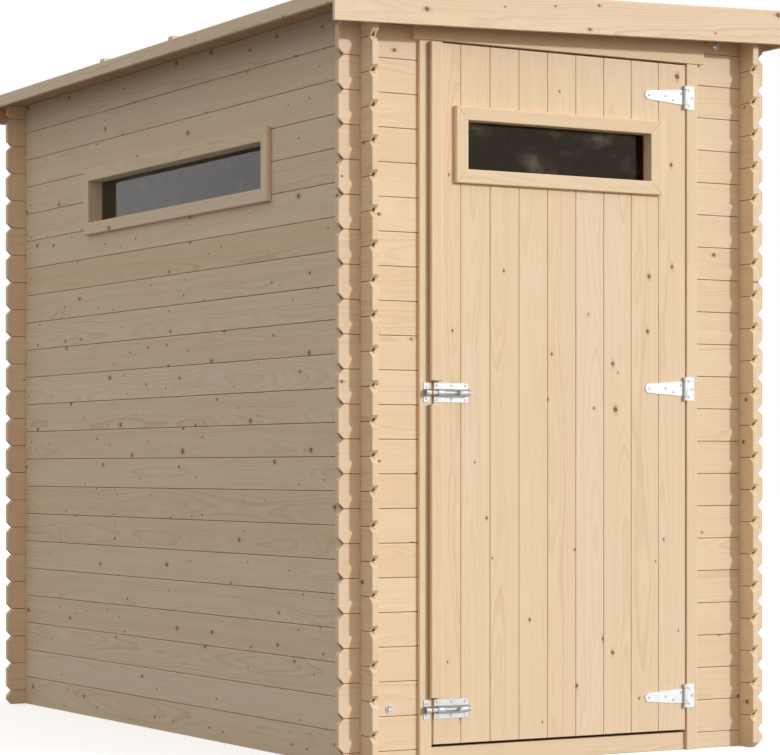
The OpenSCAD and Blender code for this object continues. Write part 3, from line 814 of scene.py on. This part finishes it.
def felt_sheet(stock, y0, y1, lifted):
    """A sheet of felt. Lifted gives its height above the roof boards at a place along the shed."""
    thick = sheet_t - 0.0002
    across, back = 48, max(12, round((y1 - y0) / 0.012))
    grid = []
    for side in (0, 1):
        for j in range(back + 1):
            for i in range(across + 1):
                x = felt_low.x + (felt_high.x - felt_low.x) * i / across
                y = y0 + (y1 - y0) * j / back
                sag = 0.00012 * (math.sin(x * 31 + y * 17) + math.sin(x * 11 - y * 43)) - 0.00024
                height = deck_t + lifted(y) + (thick + sag if side else 0)
                grid.append(on_roof(x, y, height))
    base = len(stock.verts)
    stock.verts += grid
    stock.grain += grid
    stock.board += [(0, 0, 0)] * len(grid)
    row, layer = across + 1, (across + 1) * (back + 1)

    def at(side, i, j):
        return base + side * layer + j * row + i

    for j in range(back):
        for i in range(across):
            stock.faces.append([at(1, i, j), at(1, i + 1, j), at(1, i + 1, j + 1), at(1, i, j + 1)])
            stock.faces.append([at(0, i, j), at(0, i, j + 1), at(0, i + 1, j + 1), at(0, i + 1, j)])
    for i in range(across):
        for j in (0, back):
            stock.faces.append([at(0, i, j), at(0, i + 1, j), at(1, i + 1, j), at(1, i, j)])
    for j in range(back):
        for i in (0, across):
            stock.faces.append([at(0, i, j), at(0, i, j + 1), at(1, i, j + 1), at(1, i, j)])


def fade(value, start, end):
    """Rises smoothly from 0 at the start to 1 at the end."""
    s = min(1, max(0, (value - start) / (end - start)))
    return s * s * (3 - 2 * s)


stock = Stock()
felt_sheet(stock, felt_low.y, -lap_at + LAP / 2, lambda y: 0)
felt_sheet(stock, lap_at - LAP / 2, felt_high.y, lambda y: 0)
felt_sheet(
    stock,
    -lap_at - LAP / 2,
    lap_at + LAP / 2,
    lambda y: sheet_t * fade(abs(y), lap_at - LAP / 2 - 0.02, lap_at - LAP / 2 - 0.004),
)
stock.piece("roof_felt_sheets", felt, "shed", "roofing_felt", ["roof_felt"], math.radians(40))

# ---- Fascias ----
for node in ("fascia_front", "fascia_back"):
    low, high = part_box(node)
    bottom, top = roof_edge_heights(node)
    stock = Stock()
    outer, inwards = (low.y, 1) if node == "fascia_front" else (high.y, -1)
    plain_board(
        stock,
        (low.x, high.x),
        (bottom, top),
        (0, high.y - low.y),
        lambda a, c, t: (a, outer + inwards * t, roof_line(a) + under_low + c),
        ALONG_X,
        ROUND,
        2,
    )
    stock.piece(node + "_board", wood_fascia, "shed", timber, [node])

for node, inwards in (("fascia_left", 1), ("fascia_right", -1)):
    stock = Stock()
    bottom, top = roof_edge_heights(node)
    low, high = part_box(node)
    outer = low.x if inwards > 0 else high.x
    for ends in stretches(node, 1):
        plain_board(
            stock,
            ends,
            (bottom, top),
            (0, high.x - low.x),
            lambda a, c, t: (outer + inwards * t, a, roof_line(outer + inwards * t) + under_low + c),
            ALONG_Y,
            ROUND,
            2,
        )
    stock.piece(node + "_boards", wood_wall, "shed", timber, [node])


# ---- Windows ----
def trim(stock, hole, border, thickness, place, axes_level, axes_up, radius, steps):
    """Four mitred boards round a hole, given as its middle and half sizes along and up."""
    (am, cm), (ha, hc) = hole
    gap, mitre = 0.00025, 0.12
    weights = (1, mitre, 1, mitre)
    for side in (-1, 1):
        inner, outer = cm + side * hc, cm + side * (hc + border)
        outline = [(am - ha - border + gap, outer), (am + ha + border - gap, outer)]
        outline += [(am + ha + gap, inner), (am - ha - gap, inner)]
        board(stock, [(outline, 0), (outline, thickness)], place, axes_level, radius, steps, weights)
        inner, outer = am + side * ha, am + side * (ha + border)
        outline = [(cm - hc - border + 2 * gap, outer), (cm + hc + border - 2 * gap, outer)]
        outline += [(cm + hc, inner), (cm - hc, inner)]
        board(
            stock,
            [(outline, 0), (outline, thickness)],
            lambda a, c, t: place(c, a, t),
            axes_up,
            radius,
            steps,
            weights,
        )


def frame_boards(stock, hole, t, deep, place, axes_level, axes_up, steps):
    """The boards inside a window hole, between two depths, one lining each side."""
    (am, cm), (ha, hc) = hole
    for side in (-1, 1):
        c = sorted((cm + side * hc, cm + side * (hc + t)))
        outline = box_outline(am - ha - t, am + ha + t, c[0], c[1])
        board(stock, [(outline, deep[0]), (outline, deep[1])], place, axes_level, 0.001, steps)
        c = sorted((am + side * ha, am + side * (ha + t)))
        outline = box_outline(cm - hc + HALF_GAP, cm + hc - HALF_GAP, c[0], c[1])
        board(
            stock,
            [(outline, deep[0]), (outline, deep[1])],
            lambda a, c, t: place(c, a, t),
            axes_up,
            0.001,
            steps,
        )


def window(prefix, body, axis, wood, axes_level, axes_up):
    """Outer trim, inner trim and frame of one window. Axis is the one that its glass faces."""
    along = 1 - axis
    frame_low, frame_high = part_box(prefix + "_frame")
    glass_low, glass_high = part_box(prefix + "_glass")
    trim_low, trim_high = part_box(prefix + "_trim")
    inner_low, inner_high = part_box(prefix + "_inner_trim")
    middle = ((frame_low[along] + frame_high[along]) / 2, (frame_low.z + frame_high.z) / 2)
    wide = ((frame_high[along] - frame_low[along]) / 2, (frame_high.z - frame_low.z) / 2)
    half = (wide[0] - SASH, wide[1] - SASH)
    border = (trim_high.z - trim_low.z) / 2 - half[1]

    def at(depth):
        def place(a, c, t):
            return (depth + t, a, c) if axis == 0 else (a, depth + t, c)

        return place

    stock = Stock()
    outer_t = trim_high[axis] - trim_low[axis] - HALF_GAP
    trim(stock, (middle, half), border, outer_t, at(trim_low[axis]), axes_level, axes_up, 0.003, 3)
    stock.piece(prefix + "_trim_boards", wood, body, timber, [prefix + "_trim"])

    stock = Stock()
    inner_t = inner_high[axis] - inner_low[axis]
    trim(stock, (middle, wide), border - SASH, inner_t, at(inner_low[axis]), axes_level, axes_up, 0.002, 2)
    stock.piece(prefix + "_inner_trim_boards", wood, body, timber, [prefix + "_inner_trim"])

    stock = Stock()
    flat = at(0)
    depths = (frame_low[axis], glass_low[axis])
    frame_boards(stock, (middle, half), SASH - HALF_GAP, depths, flat, axes_level, axes_up, 1)
    depths = (glass_high[axis], frame_high[axis])
    frame_boards(stock, (middle, half), SASH - HALF_GAP, depths, flat, axes_level, axes_up, 1)
    stock.piece(prefix + "_frame_boards", wood, body, timber, [prefix + "_frame"])


window("side_window", "shed", 0, wood_side_trim, ALONG_Y, (Z, Y, X))
window("door_window", "door", 1, wood_trim, ALONG_X, ALONG_Z)

# ---- Door ----
leaf_low, leaf_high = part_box("door_leaf")
hole_low, hole_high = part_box("door_window_frame")
leaf_t = leaf_high.y - leaf_low.y


def on_door(a, c, t):
    return (c, leaf_low.y + t, a)


stock = Stock()
edges = [leaf_high.x]
while edges[-1] - DOOR_BOARD > leaf_low.x + DOOR_BOARD / 2:
    edges.append(edges[-1] - DOOR_BOARD)
edges.append(leaf_low.x)
edges.reverse()
g0 = (leaf_t - TONGUE) / 2
for start, end in zip(edges, edges[1:]):
    spans = [(leaf_low.z, leaf_high.z)]
    low_notches, high_notches = [], []
    low, high = start + HALF_JOINT, end - HALF_JOINT
    if start < hole_high.x and end > hole_low.x:
        if hole_low.x - start > SLIVER:
            high_notches = [(hole_low.z, hole_high.z, hole_low.x)]
        elif end - hole_high.x > SLIVER:
            low_notches = [(hole_low.z, hole_high.z, hole_high.x)]
        else:
            spans = [(leaf_low.z, hole_low.z), (hole_high.z, leaf_high.z)]
    for span in spans:
        faces, middle = log_outline(span, low, high, (0, 0, 0, 0), low_notches, high_notches)
        if end == edges[-1]:
            middle = faces
        if start == edges[0]:
            middle = [(a, max(c, low) if c > high - TONGUE else c) for a, c in middle]
        proud = rng.uniform(0, 0.0003)
        levels = [(faces, proud), (faces, g0), (middle, g0), (middle, g0 + TONGUE)]
        levels += [(faces, g0 + TONGUE), (faces, leaf_t)]
        board(stock, levels, on_door, ALONG_Z, rim=0.002)
stock.piece("door_leaf_boards", wood_front, "door", timber, ["door_leaf"])

stock = Stock()
ledge_boxes = clusters("door_ledges", 2, 0.1)
for low, high in ledge_boxes:
    plain_board(
        stock,
        (low.x, high.x),
        (low.z, high.z),
        (-high.y, -low.y),
        lambda a, c, t: (a, -t, c),
        ALONG_X,
        0.004,
        2,
    )
stock.piece("door_ledge_boards", wood_front, "door", timber, ["door_ledges"])

brace_low, brace_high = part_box("door_brace")
corners = [v.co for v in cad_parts["door_brace"].data.vertices]
foot = sorted({round(p.x, 4) for p in corners if p.z < brace_low.z + FACE})
head = sorted({round(p.x, 4) for p in corners if p.z > brace_high.z - FACE})
lean = Vector((head[0] - foot[0], 0, brace_high.z - brace_low.z)).normalized()
outline = [(foot[0], brace_low.z), (foot[-1], brace_low.z)]
outline += [(head[-1], brace_high.z), (head[0], brace_high.z)]
stock = Stock()
board(
    stock,
    [(outline, -brace_high.y), (outline, -brace_low.y)],
    lambda a, c, t: (a, -t, c),
    (lean, Vector((lean.z, 0, -lean.x)), Y),
    0.004,
    2,
    (0.3, 1, 0.3, 1),
)
stock.piece("door_brace_board", wood_front, "door", timber, ["door_brace"])

stock = Stock()
strip_back = jamb_front - STRIP_GAP
low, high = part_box("door_cover_strip")
for bottom, top in stretches("door_cover_strip", 2):
    full = box_outline(bottom, top, low.x, high.x)
    slim = box_outline(bottom, top, leaf_low.x, high.x)
    step = strip_back - low.y
    levels = [(full, 0), (full, step), (slim, step), (slim, high.y - low.y)]
    board(stock, levels, lambda a, c, t: (c, low.y + t, a), ALONG_Z, 0.0028, 3)
stock.piece("door_cover_strip_boards", wood_trim, "door", timber, ["door_cover_strip"])

# ---- Metal and glass ----
finishes = {
    "hinge_plates": hinge_zinc,
    "hinge_straps": hinge_zinc,
    "bolt_keepers": bolt_zinc,
    "bolt_bases": bolt_zinc,
    "middle_bolt_rod": hinge_zinc,
    "bottom_bolt_rod": hinge_zinc,
    "wall_bolts": bolt_zinc,
    "side_window_glass": side_glass,
    "door_window_glass": door_glass,
}
for node, finish in finishes.items():
    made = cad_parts[node]
    made.data.materials.clear()
    made.data.materials.append(finish)
    if node.endswith("_glass"):
        continue
    weld = made.modifiers.new("weld", "WELD")
    weld.merge_threshold = 0.00002
    bevel = made.modifiers.new("bevel", "BEVEL")
    bevel.width = 0.0005
    bevel.segments = 2
    bevel.limit_method = "ANGLE"
    bevel.angle_limit = math.radians(35)
    bevel.harden_normals = True


def screw(stock, centre, out, up, radius=0.0038):
    """A screw's domed head with a cross recess. It faces out from its centre."""
    out, up = Vector(out), Vector(up)
    side = out.cross(up)
    count = 32
    rings = []

    def ring(height, size):
        points = []
        for i in range(count):
            a = 2 * math.pi * i / count
            points.append(Vector(centre) + out * height + (side * math.cos(a) + up * math.sin(a)) * size(a))
        rings.append((points, 0))

    def cross(a):
        return radius * (0.62 if min(a % (math.pi / 2), math.pi / 2 - a % (math.pi / 2)) < 0.2 else 0.2)

    ring(-0.0005, lambda a: radius)
    ring(radius * 0.12, lambda a: radius)
    for turn in (0.35, 0.7):
        height = 0.12 + 0.36 * math.sin(turn * math.pi / 2)
        ring(radius * height, lambda a: radius * math.cos(turn * 1.05))
    ring(radius * 0.5, lambda a: cross(a) + radius * 0.06)
    ring(radius * 0.36, lambda a: cross(a) * 0.8)
    stock.loft(rings, (side, up, out))


OUT, UP = (0, -1, 0), (0, 0, 1)
PLATE_T = 0.0025  # thickness of a hinge's plate on the jamb
STRAP_T = 0.003  # thickness of a hinge's strap on the door
BOLT_T = 0.002  # thickness of the bolts' and keepers' plates
SMALL_SCREW = 0.0032  # radius of the bolts' screw heads


# Screws take the brighter copy of the steel, a painted highlight.
def metal_piece(stock, name, body):
    return stock.piece(name, hinge_zinc, body, "galvanised_steel", (), math.radians(32))


plates, straps = Stock(), Stock()
for low, high in clusters("hinge_plates", 2, 0.2):
    middle = (low.z + high.z) / 2
    for x, z in ((0.42, 0.021), (0.42, -0.021), (0.72, 0.0)):
        at = (low.x + (high.x - low.x) * x + 0.004, jamb_front - PLATE_T, middle + z)
        screw(plates, at, OUT, UP)
for low, high in clusters("hinge_straps", 2, 0.2):
    middle = (low.z + high.z) / 2
    for x, z in ((0.1, 0.0), (0.5, 0.0005), (0.69, -0.0095), (0.88, 0.0098)):
        at = (low.x + (high.x - low.x) * x, leaf_low.y - STRAP_T, middle + z)
        screw(straps, at, OUT, UP)
metal_piece(plates, "hinge_plate_screws", "shed")
metal_piece(straps, "hinge_strap_screws", "door")

keepers, bases = Stock(), Stock()
for low, high in clusters("bolt_keepers", 2, 0.2):
    middle = (low.z + high.z) / 2
    for z in (0.0155, -0.0155):
        at = ((low.x + high.x) / 2, jamb_front - BOLT_T, middle + z)
        screw(keepers, at, OUT, UP, SMALL_SCREW)
for low, high in clusters("bolt_bases", 2, 0.2):
    middle = (low.z + high.z) / 2
    for x in (0.008, (high.x - low.x) / 2, high.x - low.x - 0.008):
        for z in (0.0185, -0.0185):
            screw(bases, (low.x + x, leaf_low.y - BOLT_T, middle + z), OUT, UP, SMALL_SCREW)
metal_piece(keepers, "bolt_keeper_screws", "shed")
metal_piece(bases, "bolt_base_screws", "door")

stock = Stock()
for low, high in ledge_boxes:
    for start, end in zip(edges, edges[1:]):
        for z in (-0.024, 0.024):
            at = ((start + end) / 2, high.y, (low.z + high.z) / 2 + z)
            if low.x + 0.01 < at[0] < high.x - 0.01:
                screw(stock, at, (0, 1, 0), UP, 0.0034)
metal_piece(stock, "door_ledge_screws", "door")

# ---- Floor of the scene, light and camera ----
bpy.ops.mesh.primitive_circle_add(vertices=64, radius=60, fill_type="NGON", location=(0, 0, 0))
ground = bpy.context.object
ground.name = "studio_floor"
ground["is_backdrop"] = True


def seen_rays(g):
    """1 for the rays that show the background itself, 0 for those that carry light."""
    light_path = g.node("LightPath").outputs
    seen = g.math("MAXIMUM", light_path["Is Camera Ray"], light_path["Is Glossy Ray"])
    return g.math("MAXIMUM", seen, light_path["Is Transmission Ray"])


g = Graph("studio_floor")
lit = g.node("BsdfDiffuse", {"Color": colour(0.75, 0.75, 0.75)}).outputs[0]
glow = g.node("Emission", {"Color": colour(1, 1, 1), "Strength": 0.55}).outputs[0]
shown = g.node("AddShader", {0: lit, 1: glow}).outputs[0]
bounce = g.node("BsdfDiffuse", {"Color": colour(0.18, 0.175, 0.165)}).outputs[0]
surface = g.node("MixShader", {0: seen_rays(g), 1: bounce, 2: shown}).outputs[0]
g.tree.links.new(surface, g.node("OutputMaterial").inputs[0])
ground.data.materials.append(g.material)

world = bpy.data.worlds.new("studio")
bpy.context.scene.world = world
world.use_nodes = True
g = Graph("studio", world.node_tree)
AMBIENT = 0.71  # strength of the sky that lights the shed
light_path = seen_rays(g)
shade = g.mix(light_path, colour(1.0, 0.98, 0.96), colour(1, 1, 1))
strength = g.math("MULTIPLY_ADD", light_path, 1 - AMBIENT, AMBIENT)
sky = g.node("Background", {"Color": shade, "Strength": strength}).outputs[0]
g.tree.links.new(sky, g.node("OutputWorld").inputs[0])


def sun(name, energy, tint, spread, turn, rise):
    """A lamp at the front, turned to the right and raised by angles in degrees."""
    lamp = bpy.data.lights.new(name, "SUN")
    lamp.energy = energy
    lamp.angle = math.radians(spread)
    lamp.color = tint
    made = bpy.data.objects.new(name, lamp)
    bpy.context.scene.collection.objects.link(made)
    a, b = math.radians(turn), math.radians(rise)
    towards = Vector((math.sin(a) * math.cos(b), -math.cos(a) * math.cos(b), math.sin(b)))
    made.rotation_euler = towards.to_track_quat("Z", "Y").to_euler()


sun("key", 1.62, (0.93, 1.0, 1.12), 3.2, 27.8, 18.2)
sun("fill", 0.7, (1.0, 0.93, 0.62), 50, 30, 4)

# The camera stands where the photograph was taken from, level, and its frame is shifted up
lens = bpy.data.cameras.new("camera")
lens.lens = 123.43
lens.shift_y = 0.1165
camera = bpy.data.objects.new("camera", lens)
bpy.context.scene.collection.objects.link(camera)
camera.location = (-3.9050, -7.0065, 0.762)
camera.rotation_euler = (math.radians(90), 0, math.radians(-29.90))
bpy.context.scene.camera = camera
bpy.context.scene.view_settings.view_transform = "Standard"

low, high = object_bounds()
